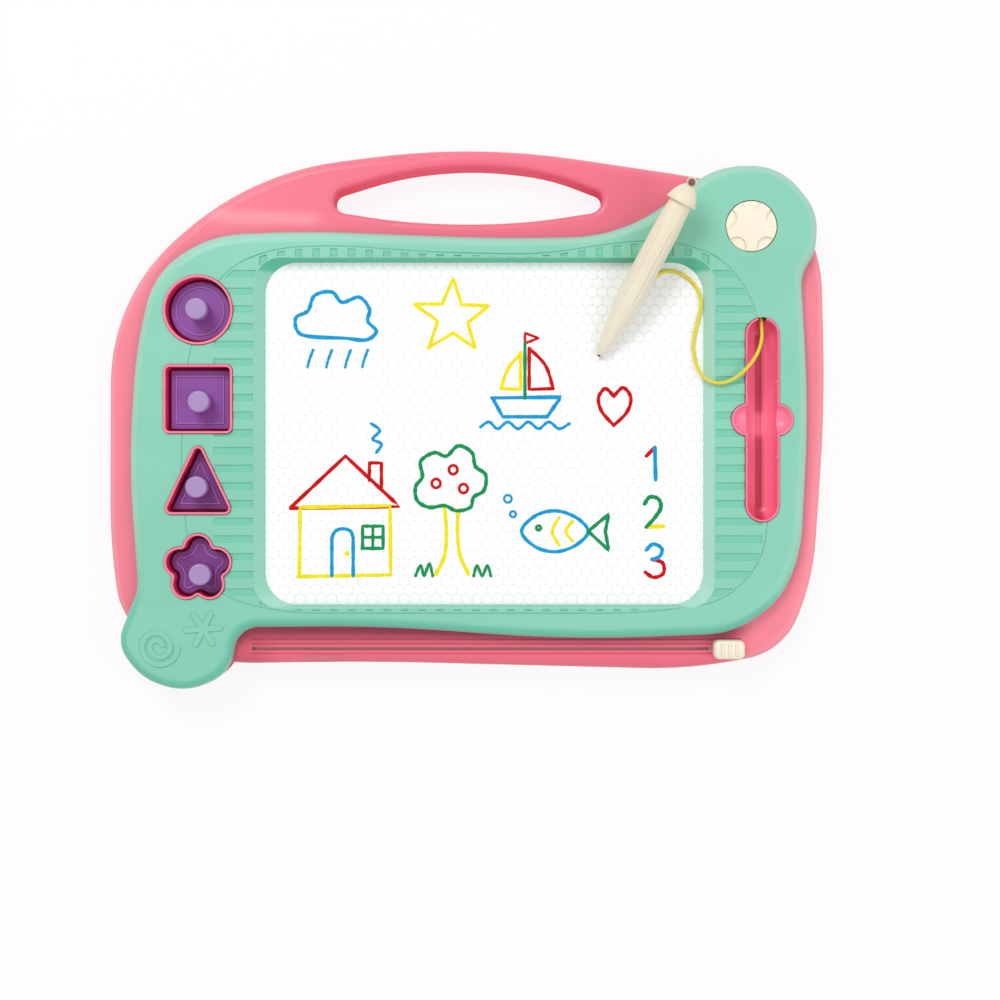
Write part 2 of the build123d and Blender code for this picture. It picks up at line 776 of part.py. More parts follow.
def across_pen(radius, reach, shift=0):
    """Round rod across the pen through the middle of its eyelet."""
    return at(0, shift, pen_length) * Rot(90, 0, 0) * Cylinder(radius, reach)


def pen_cap():
    """Domed end cap with a collar, a plug into the barrel and the cord's eyelet."""
    dome_top = pen_length - eyelet_outer + eyelet_sink
    collar_top = barrel_end + pen_collar_depth
    dome_foot = (pen_collar_radius - pen_collar_step, collar_top)
    shoulder = (pen_collar_radius * pen_dome_shoulder_share, (collar_top + dome_top) / 2)
    dome = Spline(dome_foot, shoulder, (pen_dome_radius, dome_top))
    cap = turned(Line((0, barrel_end), (pen_collar_radius, barrel_end)),
                 Line((pen_collar_radius, barrel_end), (pen_collar_radius, collar_top)),
                 Line((pen_collar_radius, collar_top), dome_foot), dome,
                 Line((pen_dome_radius, dome_top), (0, dome_top)), Line((0, dome_top), (0, barrel_end)))
    cap += pin(pen_plug_radius, 0, 0, barrel_end - pen_plug_length, barrel_end + overrun)
    cap += across_pen(eyelet_outer, eyelet_thickness)
    return cap - across_pen(eyelet_bore, 2 * eyelet_thickness)


def pen_magnet():
    return pin(pen_magnet_radius, 0, 0, -pen_magnet_show, pen_magnet_length - snug_gap)


def cord_pen_knot():
    """Knot above the eyelet, with the cord's end passing down through its bore."""
    knot_shift = -eyelet_thickness / 2 - pen_knot_radius + knot_seat
    knot = at(0, knot_shift, pen_length) * Sphere(pen_knot_radius)
    knot -= at(0, 0, pen_length) * Box(2 * eyelet_outer, eyelet_thickness, 2 * eyelet_outer)
    tail_start = knot_shift
    tail_reach = cord_end_drop - tail_start
    return knot + across_pen(cord_diameter / 2, tail_reach, tail_start + tail_reach / 2)


# Cord route from the knot behind the tray's end wall to the underside of the pen's eyelet
cord_points = [
    (171.65, 60.5, 24.3), (171.9, 54.6, 25.1), (171.8, 48.4, 28.2), (170.4, 42.0, 31.8),
    (167.4, 35.4, 34.0), (162.9, 29.2, 34.3), (157.3, 24.0, 33.1), (151.4, 20.7, 32.3),
    (145.8, 19.7, 32.4), (140.7, 21.0, 31.2), (136.6, 24.9, 27.6), (134.4, 30.2, 24.4),
    (133.0, 35.9, 23.9), (132.2, 41.4, 23.8), (132.9, 48.9, 23.8), (134.9, 56.2, 23.9),
    (136.8, 63.2, 23.8), (137.0, 70.0, 24.1), (134.6, 76.3, 24.0), (130.4, 81.3, 23.8),
    (124.7, 84.9, 23.9), (118.3, 86.4, 23.8), (112.0, 85.3, 23.8), (106.3, 80.4, 23.8),
    (101.5, 78.6, 23.9), (96.9, 80.4, 24.6), (94.9, 84.6, 27.0), (96.1, 88.9, 30.3),
    (99.4, 93.0, 32.6), (103.6, 98.2, 32.7), (108.2, 105.0, 32.2), (113.2, 112.2, 32.3),
    (118.3, 118.9, 33.2), (122.4, 124.2, 35.0), (125.8, 129.2, 37.6), (128.1, 132.6, 41.3),
    (128.64, 133.69, 45.87), (128.11, 132.69, 50.23),
]


def cord_path():
    """Straight runs joined by the widest bends that the runs allow."""
    radii = []
    for before, corner, after in zip(cord_points, cord_points[1:], cord_points[2:]):
        run_in = Vector(*corner) - Vector(*before)
        run_out = Vector(*after) - Vector(*corner)
        turn = radians(run_in.get_angle(run_out))
        radii.append(cord_bend_share * min(run_in.length, run_out.length) / tan(turn / 2))
    print("cord radii", [round(radius, 1) for radius in radii])
    return FilletPolyline(*cord_points, radius=radii)


def pen_cord():
    path = cord_path()
    start = Plane(origin=path @ 0, z_dir=path % 0)
    tube = sweep(start * Circle(cord_diameter / 2), path)
    section = pi * (cord_diameter / 2) ** 2
    print("cord length", round(path.length, 1), "volume", round(tube.volume, 1),
          "section times length", round(section * path.length, 1))
    return tube


def cord_anchor_knot():
    """Round knot that the cord's first end runs into, flat where they meet."""
    start = Vector(*cord_points[0])
    away = (start - Vector(*cord_points[1])).normalized()
    depth = anchor_knot_radius - 2 * knot_seat
    knot = Pos(*(start + away * depth)) * Sphere(anchor_knot_radius)
    cut = Plane(origin=start, z_dir=-away)
    return knot - cut * Cylinder(anchor_knot_radius, 2 * anchor_knot_radius,
                                 align=(Align.CENTER, Align.CENTER, Align.MIN))


def rear_screws():
    return Compound(children=[screw(x, y, cover_thickness, cover_screw_depth) for x, y in cover_screw_places])


def bezel_screws():
    length = wall + bezel_screw_depth
    return Compound(children=[screw(x, y, deck_under_z, length) for x, y in bezel_screw_places])


film_top_z = deck_z + film_thickness
core_top_z = screen_top_z - film_thickness
parts = {
    "main_body": main_body(),
    "front_bezel": front_bezel(),
    "rear_cover": rear_cover(),
    "screen_back_film": screen_sheet(deck_z, film_top_z),
    "screen_cell_core": screen_sheet(film_top_z, core_top_z),
    "screen_front_film": screen_sheet(core_top_z, screen_top_z),
    "eraser_bar": eraser_bar(),
    "eraser_magnet": magnet_strip(),
    "eraser_knob": eraser_knob(),
    "corner_dial": corner_dial(),
    "dial_washer": dial_washer(),
    "dial_screw": dial_screw(),
    "pen_barrel": pen_place * pen_barrel(),
    "pen_cap": pen_place * pen_cap(),
    "pen_magnet": pen_place * pen_magnet(),
    "cord_pen_knot": pen_place * cord_pen_knot(),
    "pen_cord": pen_cord(),
    "cord_anchor_knot": cord_anchor_knot(),
    "rear_screws": rear_screws(),
    "bezel_screws": bezel_screws(),
    "pen_tray": pen_tray(),
}
for name, (shape, peg_x, peg_y) in wells.items():
    parts[f"{name}_well"] = well_cup(shape())
    parts[f"{name}_stamp"] = stamp(shape(), peg_x, peg_y)
    parts[f"{name}_stamp_magnet"] = stamp_magnet(shape())

for name, solid in parts.items():
    export_step(solid, f"parts/{name}.step")
print("eraser travel", round(bar_x - bar_x_left, 2), "bar", round(bar_x, 2), "knob", round(knob_x, 2))
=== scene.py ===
import math
import bmesh
import bpy
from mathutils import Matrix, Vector


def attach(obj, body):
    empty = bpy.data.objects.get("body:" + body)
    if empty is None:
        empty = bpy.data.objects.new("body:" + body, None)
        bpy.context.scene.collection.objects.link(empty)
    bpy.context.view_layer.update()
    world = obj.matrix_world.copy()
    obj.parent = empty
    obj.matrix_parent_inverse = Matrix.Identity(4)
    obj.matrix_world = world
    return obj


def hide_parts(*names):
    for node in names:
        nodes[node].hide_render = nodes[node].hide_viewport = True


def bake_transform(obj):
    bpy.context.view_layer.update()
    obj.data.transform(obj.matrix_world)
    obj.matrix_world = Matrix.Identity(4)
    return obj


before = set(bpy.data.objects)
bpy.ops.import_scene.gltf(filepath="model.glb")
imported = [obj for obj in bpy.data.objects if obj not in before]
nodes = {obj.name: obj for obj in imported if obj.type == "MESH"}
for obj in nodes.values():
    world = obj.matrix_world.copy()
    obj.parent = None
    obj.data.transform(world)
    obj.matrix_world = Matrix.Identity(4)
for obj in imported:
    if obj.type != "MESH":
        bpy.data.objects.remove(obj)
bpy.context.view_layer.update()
MM = 0.001


def add_object(name, data):
    """A new object in the scene."""
    made = bpy.data.objects.new(name, data)
    bpy.context.scene.collection.objects.link(made)
    return made


# Camera: straight above the board
camera_data = bpy.data.cameras.new("camera")
camera_data.lens = 54.6
camera_data.sensor_width = 36.0
camera_data.clip_start = 0.01
camera = add_object("camera", camera_data)
camera.location = (0.0194, -0.0477, 0.910)
bpy.context.scene.camera = camera

# Levels above the floor, in millimetres, as are the sizes that follow
SCREEN_TOP = 22.5
STAMP_TOP = 22.8
BEZEL_TOP = 30.0
LEDGE_TOP = 20.0

# Middles of the window, the tray and the slider's slot
WINDOW_X = 10.3
WINDOW_Y = -8.8
TRAY_X = 171.65
TRAY_Y = -1.1
SLOT_Y = -135.0

# Reach of the window's bevel to the left, to the right, and up and down from the middle
BEVEL_LEFT = -126.0
BEVEL_RIGHT = 147.0
BEVEL_REACH = 104.0

# Ribs: the distance between them, half the width of one, and half the length of their straight row
RIB_PITCH = 10.27
RIB_HALF = 2.1
RIB_ROW_HALF = 108.0

# The painted highlight along the crest across the shoulder: its height up the board, its tilt and half its
# width
CREST_Y = 114.5
CREST_TILT = -0.03
CREST_HALF = 7.0

# Straight part of the handle's hole, half the slot's width, and the ejector's mark beside the tray
HOLE_LEFT = -80.0
HOLE_RIGHT = 98.0
SLOT_HALF = 1.1
MARK_X = 189.0
MARK_Y = 31.0
MARK_HALF = 1.6

# Distance between the screen's cells, and the cord's diameter
CELL_PITCH = 6.1
CORD_ACROSS = 2.0

# Felt-pen lines: how much wider than drawn, the heights of their underside and top above the film,
# and how much the top rises along a line, from colour to colour and from line to line
STROKE_SHARE = 1.15
STROKE_FLOOR = 0.004
STROKE_TOP = 0.05
STROKE_CLIMB = 0.03
COLOUR_RISE = 0.04
ORDER_RISE = 0.004

# The sky's strength as light on the object, the floor's grey, the part of the floor's brightness that
# its glow gives, and half the floor's width in metres
SKY_LEVEL = 0.64
FLOOR_GREY = 0.86
GLOW_SHARE = 0.86
FLOOR_HALF = 6.0


def linear(red, green, blue):
    """A colour given as 0 to 255 on the display, as the shader's linear colour."""
    def one(value):
        value /= 255.0
        return value / 12.92 if value <= 0.04045 else ((value + 0.055) / 1.055) ** 2.4
    return (one(red), one(green), one(blue), 1.0)


# Each material's own colour, then its tints: mostly painted light and shade on rims, floors and folds.
# Materials between two colours have them as a pair, the darker first
PINK = linear(242, 127, 145)
PINK_RIM_HIGHLIGHT = linear(255, 166, 178)
PINK_CREST_HIGHLIGHT = linear(250, 160, 170)
PINK_HANDLE_SHADE = linear(228, 92, 118)
PINK_HOLE_SHADE = linear(255, 108, 138)
PINK_LEDGE_SHADE = linear(231, 96, 121)
PINK_BEZEL_SHADOW = linear(164, 56, 80)
PINK_CORNER_SHADE = linear(190, 66, 90)
PINK_SLOT_LIGHT = linear(255, 182, 194)
TRAY_PINK = linear(250, 122, 154)
TRAY_MIDDLE = linear(196, 56, 84)
TRAY_SCOOP_LIGHT = linear(255, 150, 172)
WELL_PINK = linear(247, 128, 152)
WELL_DEEP = linear(252, 50, 114)
MINT = linear(132, 202, 177)
MINT_GROOVE_SHADE = linear(104, 194, 165)
MINT_STEP_LIGHT = linear(222, 250, 240)
MINT_SLOPE_LIGHT = linear(178, 230, 210)
MINT_LIT = linear(214, 244, 238)
MINT_SHADE = linear(70, 190, 152)
MINT_UPPER_EDGE_SHEEN = linear(186, 214, 202)
MINT_LOWER_EDGE_SHADE = linear(100, 194, 168)
MINT_MARK_SHADE = linear(118, 200, 173)
PURPLE = linear(138, 74, 163)
SHADED_PURPLE = linear(126, 59, 142)
PEG_TOP_LIGHT = linear(166, 138, 190)
PLATE_LINE_HIGHLIGHT = linear(176, 120, 200)
CREAM = linear(242, 232, 210)
PEN_CREAM = linear(231, 220, 196)
PEN_TIP = linear(236, 232, 213)
SLIDER_WHITE = linear(226, 225, 220)
FILM_WHITE = linear(252, 252, 252)
CELL_GREY = linear(218, 219, 223)
CORE_GREY = linear(232, 232, 230)
MAGNET_BLACK = linear(58, 54, 53)
ZINC = (linear(150, 150, 154), linear(205, 205, 208))
NICKEL = (linear(84, 80, 80), linear(122, 118, 116))
CORD_YELLOW = (linear(198, 176, 30), linear(243, 224, 58))
CORD_END_BROWN = (linear(92, 48, 48), linear(164, 104, 98))
FELT_RED = linear(204, 12, 14)
FELT_YELLOW = linear(241, 224, 24)
FELT_BLUE = linear(16, 154, 210)
FELT_GREEN = linear(18, 146, 84)
WHITE = (1.0, 1.0, 1.0, 1.0)


def shade(colour, factor):
    return tuple(channel * factor for channel in colour[:3]) + (1.0,)


class Nodes:
    """A node tree, with short ways to add to it. Masks run from 0 to 1."""

    def __init__(self, tree):
        self.tree = tree
        tree.nodes.clear()

    def add(self, kind, **settings):
        node = self.tree.nodes.new(kind)
        for key, value in settings.items():
            setattr(node, key, value)
        return node

    def link(self, source, target):
        self.tree.links.new(source, target)

    def put(self, socket, value):
        if isinstance(value, bpy.types.NodeSocket):
            self.link(value, socket)
        else:
            socket.default_value = value

    def math(self, operation, first, second=0.0, third=None):
        node = self.add("ShaderNodeMath", operation=operation)
        self.put(node.inputs[0], first)
        self.put(node.inputs[1], second)
        if third is not None:
            self.put(node.inputs[2], third)
        return node.outputs[0]

    def product(self, first, *others):
        for other in others:
            first = self.math("MULTIPLY", first, other)
        return first

    def away(self, value, middle):
        """Distance of a value from a middle."""
        return self.math("ABSOLUTE", self.math("SUBTRACT", value, middle))

    def split(self, vector):
        """A vector's x, y and z."""
        node = self.add("ShaderNodeSeparateXYZ")
        self.link(vector, node.inputs[0])
        return node.outputs

    def span(self, value, low, high, to_low=0.0, to_high=1.0, smooth=False):
        node = self.add("ShaderNodeMapRange")
        if smooth:
            node.interpolation_type = "SMOOTHSTEP"
        self.put(node.inputs["Value"], value)
        numbers = {"From Min": low, "From Max": high, "To Min": to_low, "To Max": to_high}
        for name, number in numbers.items():
            node.inputs[name].default_value = number
        return node.outputs["Result"]

    def between(self, value, low, high, soft):
        """1 between low and high, fading to 0 over soft at each end."""
        rise = self.span(value, low - soft, low, smooth=True)
        fall = self.span(value, high, high + soft, 1.0, 0.0, smooth=True)
        return self.math("MULTIPLY", rise, fall)

    def mix(self, factor, first, second):
        node = self.add("ShaderNodeMix", data_type="RGBA")
        self.put(node.inputs["Factor"], factor)
        self.put(node.inputs["A"], first)
        self.put(node.inputs["B"], second)
        return node.outputs["Result"]

    def tinted(self, tint, colour, *masks):
        """The tint turned towards a colour as far as the masks' product says."""
        return self.mix(self.product(*masks), tint, colour)


class Surface(Nodes):
    """A material with one shader, whose patterns follow the place on the object."""

    def __init__(self, name):
        self.material = bpy.data.materials.new(name)
        self.material.use_nodes = True
        super().__init__(self.material.node_tree)
        self.shader = self.add("ShaderNodeBsdfPrincipled")
        output = self.add("ShaderNodeOutputMaterial")
        self.link(self.shader.outputs[0], output.inputs[0])
        self.place = self.add("ShaderNodeTexCoord").outputs["Object"]

    def axes(self):
        """Place on the object along x, y and z, in millimetres."""
        node = self.add("ShaderNodeVectorMath", operation="SCALE")
        self.link(self.place, node.inputs[0])
        node.inputs["Scale"].default_value = 1 / MM
        return self.split(node.outputs[0])

    def facing(self):
        """The mesh's normal along x, y and z."""
        return self.split(self.add("ShaderNodeNewGeometry").outputs["True Normal"])

    def stretch(self, x, y, z):
        node = self.add("ShaderNodeMapping")
        self.link(self.place, node.inputs["Vector"])
        node.inputs["Scale"].default_value = (x, y, z)
        return node.outputs[0]

    def noise(self, scale, detail, place=None, roughness=0.5):
        """Noise with a number of cells to the metre."""
        node = self.add("ShaderNodeTexNoise")
        self.put(node.inputs["Vector"], place or self.place)
        node.inputs["Scale"].default_value = scale
        node.inputs["Detail"].default_value = detail
        node.inputs["Roughness"].default_value = roughness
        return node.outputs["Fac"]

    def height(self, value, distance, strength, normal=None):
        """Relief a distance deep, in millimetres."""
        node = self.add("ShaderNodeBump")
        node.inputs["Distance"].default_value = distance * MM
        node.inputs["Strength"].default_value = strength
        self.put(node.inputs["Height"], value)
        if normal is not None:
            self.link(normal, node.inputs["Normal"])
        return node.outputs[0]

    def soft_edges(self, radius):
        node = self.add("ShaderNodeBevel", samples=4)
        node.inputs["Radius"].default_value = radius * MM
        return node.outputs[0]

    def finish(self, colour, rough, normal=None, **numbers):
        self.put(self.shader.inputs["Base Color"], colour)
        self.put(self.shader.inputs["Roughness"], rough)
        if normal is not None:
            self.link(normal, self.shader.inputs["Normal"])
        for name, value in numbers.items():
            self.shader.inputs[name].default_value = value
        return self.material


def moulded(name, colour, rough=(0.34, 0.44), edge=0.5, flow_share=0.03, accent=None, matt_sides=False):
    """Injection moulded plastic: faint flow marks, a fine satin grain, light scuffs, softened edges.

    accent(n, tint) changes the colour at places of its own choosing. With matt_sides, upright walls
    are duller.
    """
    n = Surface(name)
    flow = n.noise(11.0, 3.0, n.stretch(1.0, 2.2, 1.0))
    tint = n.mix(n.span(flow, 0.3, 0.7), shade(colour, 1 - flow_share), shade(colour, 1 + flow_share))
    scuffs = n.span(n.noise(260.0, 4.0, n.stretch(1.0, 0.16, 1.0), 0.62), 0.62, 0.74)
    tint = n.tinted(tint, shade(colour, 1.10), scuffs, 0.10)
    # Most accents paint light and shade at places of their choosing
    if accent:
        tint = accent(n, tint)
    level = n.math("ADD", n.span(flow, 0.3, 0.7, *rough), n.product(scuffs, 0.10))
    if matt_sides:
        level = n.math("MAXIMUM", level, n.span(n.facing()[2], 0.4, 0.1, 0.0, 0.95))
    normal = n.height(n.noise(1700.0, 1.0), 0.02, 0.6, n.soft_edges(edge))
    return n.finish(tint, level, normal, IOR=1.48)


def bezel_tints(n, tint):
    """Painted shade on sunken floors, and painted light and shade on slopes and rounded edges by place."""
    x, y, z = n.axes()
    upward = n.facing()[2]
    level = n.span(upward, 0.95, 0.99)
    from_middle = n.away(y, WINDOW_Y)

    # Painted shade on the floors of the ribbed band's grooves and of the panel line
    shallow = n.between(z, BEZEL_TOP - 1.0, BEZEL_TOP - 0.3, 0.1)
    tint = n.tinted(tint, MINT_GROOVE_SHADE, level, shallow, 0.6)

    # Dashes of painted groove shade along the window's upper and lower edges, in line with the ribs
    half_pitch = RIB_PITCH / 2
    column = n.math("WRAP", n.math("SUBTRACT", x, WINDOW_X + half_pitch), half_pitch, -half_pitch)
    column = n.span(n.math("ABSOLUTE", column), RIB_HALF, RIB_HALF + 0.1, 1.0, 0.0)
    strip = n.between(from_middle, 101.7, 102.7, 0.1)
    row = n.between(x, WINDOW_X - RIB_ROW_HALF, WINDOW_X + RIB_ROW_HALF, 1)
    tint = n.tinted(tint, MINT_GROOVE_SHADE, column, strip, row, level, 0.6)

    # Painted light on the grooves' upright sides, which lie in shade
    side = n.span(upward, 0.3, 0.1)
    step = n.between(z, BEZEL_TOP - 0.75, BEZEL_TOP - 0.02, 0.02)
    tint = n.tinted(tint, MINT_STEP_LIGHT, side, step)

    # The window's bevel: painted light, most of all on the right and below, and painted shade along the
    # top
    round_window = n.product(n.between(x, BEVEL_LEFT, BEVEL_RIGHT, 1),
                             n.span(from_middle, BEVEL_REACH + 1, BEVEL_REACH))
    slope = n.product(n.between(upward, 0.35, 0.93, 0.05), round_window)
    tint = n.tinted(tint, MINT_SLOPE_LIGHT, slope, 0.35)
    lit = n.math("MAXIMUM", n.span(x, 132, 137, smooth=True),
                 n.product(n.span(y, -102, -107, smooth=True), 0.7))
    tint = n.tinted(tint, MINT_LIT, slope, lit, 0.28)
    steep = n.product(n.span(upward, 0.97, 0.93), round_window)
    tint = n.tinted(tint, MINT_SHADE, steep, n.span(y, 84, 87, smooth=True), 0.85)

    # The bezel's rounded outer edge: a painted sheen above, painted shade along the bottom
    rounded = n.product(n.span(upward, 0.3, 0.6, smooth=True),
                        n.span(upward, 0.9, 0.995, 1.0, 0.0, smooth=True),
                        n.math("SUBTRACT", 1.0, round_window))
    tint = n.tinted(tint, MINT_UPPER_EDGE_SHEEN, rounded, n.span(y, -95, -60), 0.4)
    tint = n.tinted(tint, MINT_LOWER_EDGE_SHADE, rounded, n.span(y, -98, -112), 0.8)

    # A small square of painted shade at the ejector's mark beside the tray
    across = n.between(x, MARK_X - MARK_HALF, MARK_X + MARK_HALF, 0.6)
    along = n.between(y, MARK_Y - MARK_HALF, MARK_Y + MARK_HALF, 0.6)
    return n.tinted(tint, MINT_MARK_SHADE, across, along, level, 0.35)


def body_tints(n, tint):
    """Painted highlights on rounded rims and a crest over the shoulder, painted shade on handle and ledge.
    """
    x, y, z = n.axes()
    normal = n.facing()
    # Painted highlight on the rounded rims
    rim = n.product(n.span(normal[2], 0.45, 0.75, smooth=True),
                    n.span(normal[2], 0.85, 1.0, 1.0, 0.0, smooth=True))
    tint = n.tinted(tint, PINK_RIM_HIGHLIGHT, rim, 0.45)

    # A painted highlight along the crest, and painted shade on the handle round it
    crest_y = n.math("MULTIPLY_ADD", x, CREST_TILT, CREST_Y)
    crest = n.span(n.away(y, crest_y), 0.0, CREST_HALF, 1.0, 0.0, smooth=True)
    reach = n.between(x, -140, -95, 16)
    tint = n.tinted(tint, PINK_CREST_HIGHLIGHT, crest, reach, 0.4)
    upper = n.span(y, 88, 108, smooth=True)
    beside = n.math("SUBTRACT", n.span(x, -150, -70, 0.3, 0.56), n.product(crest, reach, 0.56))
    tint = n.tinted(tint, PINK_HANDLE_SHADE, upper, beside)

    # Painted shade, a deeper pink, on the upper wall of the handle's hole
    inside = n.product(n.between(x, HOLE_LEFT, HOLE_RIGHT, 2), n.span(y, 122, 128),
                       n.span(normal[1], -0.12, -0.4, smooth=True))
    tint = n.tinted(tint, PINK_HOLE_SHADE, inside, 0.6)

    # The ledge in painted shade, deeper in the bezel's painted shadow and to the left; painted light in
    # the slot
    ledge = n.product(n.span(y, -117, -124, smooth=True), n.between(x, -150, 150, 20))
    tint = n.tinted(tint, PINK_LEDGE_SHADE, ledge, 0.8)
    tint = n.tinted(tint, PINK_BEZEL_SHADOW, ledge, n.span(y, -135.5, -124.5, smooth=True))
    tint = n.tinted(tint, PINK_CORNER_SHADE, ledge, n.span(x, -108, -126, smooth=True), 0.5)
    slot = n.product(n.between(y, SLOT_Y - SLOT_HALF, SLOT_Y + SLOT_HALF, 0.02),
                     n.span(z, LEDGE_TOP - 0.3, LEDGE_TOP - 0.6))
    return n.tinted(tint, PINK_SLOT_LIGHT, slot, ledge)


def well_tints(n, tint):
    """Crimson below the rim, where the light is what the pink walls throw on each other."""
    return n.tinted(tint, WELL_DEEP, n.span(n.axes()[2], BEZEL_TOP + 0.9, BEZEL_TOP - 1.5, smooth=True))


def stamp_tints(n, tint):
    """Pegs paler towards their tops in painted light, and a painted highlight on the plate's raised line.
    """
    z = n.axes()[2]
    tint = n.tinted(tint, PEG_TOP_LIGHT, n.span(z, BEZEL_TOP - 4, BEZEL_TOP + 6.4, smooth=True))
    return n.tinted(tint, PLATE_LINE_HIGHLIGHT, n.between(z, STAMP_TOP + 0.1, STAMP_TOP + 0.7, 0.05), 0.8)


def tray_tints(n, tint):
    """Painted shade in the tray's middle, where least light reaches; painted light in the finger scoops.
    """
    x, y, z = n.axes()
    scoops = n.between(y, TRAY_Y - 6.0, TRAY_Y + 2.0, 5.5)
    tint = n.tinted(tint, TRAY_SCOOP_LIGHT, scoops, 0.2)
    middle = n.span(n.away(x, TRAY_X + 0.3), 0.8, 4.2, 1.0, 0.0, smooth=True)
    low = n.span(z, BEZEL_TOP - 2, BEZEL_TOP - 6)
    return n.tinted(tint, TRAY_MIDDLE, middle, low, n.math("MULTIPLY_ADD", scoops, -0.9, 1.0), 0.9)


def pen_tints(n, tint):
    """The pen's lower half, paler towards the tip."""
    return n.tinted(tint, PEN_TIP, n.span(n.axes()[1], 95, 55, 0.0, 0.5, smooth=True))


def honeycomb(n, pitch):
    """1 on the walls between six-sided cells, 0 inside them."""
    x, y, _ = n.axes()
    across = n.math("DIVIDE", x, pitch)
    up = n.math("DIVIDE", y, pitch)
    tall = math.sqrt(3.0)
    distances = []
    for shift_x, shift_y in ((0.0, 0.0), (0.5, tall / 2)):
        x = n.math("ABSOLUTE", n.math("WRAP", n.math("ADD", across, shift_x), 0.5, -0.5))
        y = n.math("ABSOLUTE", n.math("WRAP", n.math("ADD", up, shift_y), tall / 2, -tall / 2))
        slant = n.math("ADD", n.product(x, 0.5), n.product(y, tall / 2))
        distances.append(n.math("MAXIMUM", x, slant))
    return n.span(n.math("MINIMUM", *distances), 0.44, 0.5, smooth=True)


def screen_film():
    """Glossy clear film over a white cell sheet, whose six-sided walls show faintly."""
    n = Surface("screen film")
    walls = honeycomb(n, CELL_PITCH)
    patches = n.span(n.noise(60.0, 2.0), 0.35, 0.65)
    colour = n.tinted(FILM_WHITE, CELL_GREY, walls, n.math("MULTIPLY_ADD", patches, 0.2, 0.8))
    rough = n.span(n.noise(35.0, 3.0), 0.3, 0.7, 0.20, 0.30)
    return n.finish(colour, rough, n.height(walls, 0.02, 0.5), IOR=1.5)


def rubbery(name, colour):
    """Flexible magnet: dull, with fine specks."""
    n = Surface(name)
    specks = n.noise(900.0, 3.0)
    tone = n.mix(n.span(specks, 0.35, 0.65), shade(colour, 0.8), shade(colour, 1.25))
    return n.finish(tone, n.span(specks, 0.3, 0.7, 0.62, 0.8), n.height(specks, 0.03, 0.5))


def plated(name, dark, light):
    """Plated steel with fine drawn lines."""
    n = Surface(name)
    lines = n.noise(1500.0, 3.0, n.stretch(1.0, 1.0, 0.1))
    rough = n.span(lines, 0.3, 0.7, 0.28, 0.42)
    return n.finish(n.mix(lines, dark, light), rough, n.height(lines, 0.01, 0.4), Metallic=1.0)


def braided(name, dark, light, strands=8.0):
    """Strands crossing both ways round a cord, along its UV map, with painted shade between them."""
    n = Surface(name)
    turn, along, _ = n.split(n.add("ShaderNodeTexCoord").outputs["UV"])
    waves = []
    for sign in (1.0, -1.0):
        slope = n.math("ADD", n.product(turn, strands), n.product(along, strands * 0.8 * sign))
        waves.append(n.math("ABSOLUTE", n.math("SINE", n.product(slope, math.pi))))
    weave = n.math("MAXIMUM", *waves)
    # Darker yellow between the strands is painted shade, with a little random tone
    lightness = n.math("MULTIPLY_ADD", weave, 0.75, n.product(n.noise(2600.0, 2.0), 0.25))
    return n.finish(n.mix(lightness, dark, light), 0.62, n.height(weave, 0.14, 0.8))


def dark_cord_end(name, dark, light):
    """A cord's end in mottled dark brown."""
    n = Surface(name)
    mottle = n.noise(700.0, 3.0)
    rough = n.span(mottle, 0.3, 0.7, 0.35, 0.6)
    return n.finish(n.mix(mottle, dark, light), rough, n.height(mottle, 0.08, 0.7))


def felt_pen(name, colour):
    """Ink with fine grains and slow patches."""
    n = Surface(name)
    grains = n.noise(1500.0, 3.0)
    patches = n.noise(220.0, 2.0)
    amount = n.span(n.math("ADD", grains, n.product(patches, 0.5)), 0.6, 0.95)
    tone = n.mix(amount, shade(colour, 0.86), shade(colour, 1.12))
    return n.finish(tone, n.span(patches, 0.3, 0.7, 0.36, 0.5), IOR=1.2)


def assign(material, *names):
    for name in names:
        mesh = nodes[name].data
        mesh.materials.clear()
        mesh.materials.append(material)


cord_yellow = braided("braided cord", *CORD_YELLOW)
assign(moulded("pink plastic", PINK, flow_share=0.05, accent=body_tints, matt_sides=True),
       "main_body", "rear_cover")
assign(moulded("tray plastic", TRAY_PINK, rough=(0.24, 0.32), edge=0.8, accent=tray_tints), "pen_tray")
assign(moulded("well plastic", WELL_PINK, accent=well_tints),
       "circle_well", "square_well", "triangle_well", "flower_well")
assign(moulded("mint plastic", MINT, edge=0.3, accent=bezel_tints), "front_bezel")
assign(moulded("purple plastic", PURPLE, accent=stamp_tints), "circle_stamp", "square_stamp")
# The two lower stamps in a darker copy of the purple, as painted shade
assign(moulded("shaded purple plastic", SHADED_PURPLE, accent=stamp_tints), "triangle_stamp", "flower_stamp")
assign(moulded("cream plastic", CREAM), "corner_dial", "eraser_knob")
assign(moulded("pen plastic", PEN_CREAM, accent=pen_tints), "pen_barrel", "pen_cap")
assign(moulded("slider plastic", SLIDER_WHITE), "eraser_bar")
assign(moulded("cell core", CORE_GREY, rough=(0.6, 0.7)), "screen_cell_core")
assign(screen_film(), "screen_front_film", "screen_back_film")
assign(rubbery("flexible magnet", MAGNET_BLACK), "eraser_magnet", "circle_stamp_magnet",
       "square_stamp_magnet", "triangle_stamp_magnet", "flower_stamp_magnet")
assign(plated("zinc plated steel", *ZINC), "dial_washer", "dial_screw", "rear_screws", "bezel_screws")
assign(plated("magnet's nickel plate", *NICKEL), "pen_magnet")
assign(dark_cord_end("dark brown cord end", *CORD_END_BROWN), "cord_pen_knot")
assign(cord_yellow, "cord_anchor_knot")


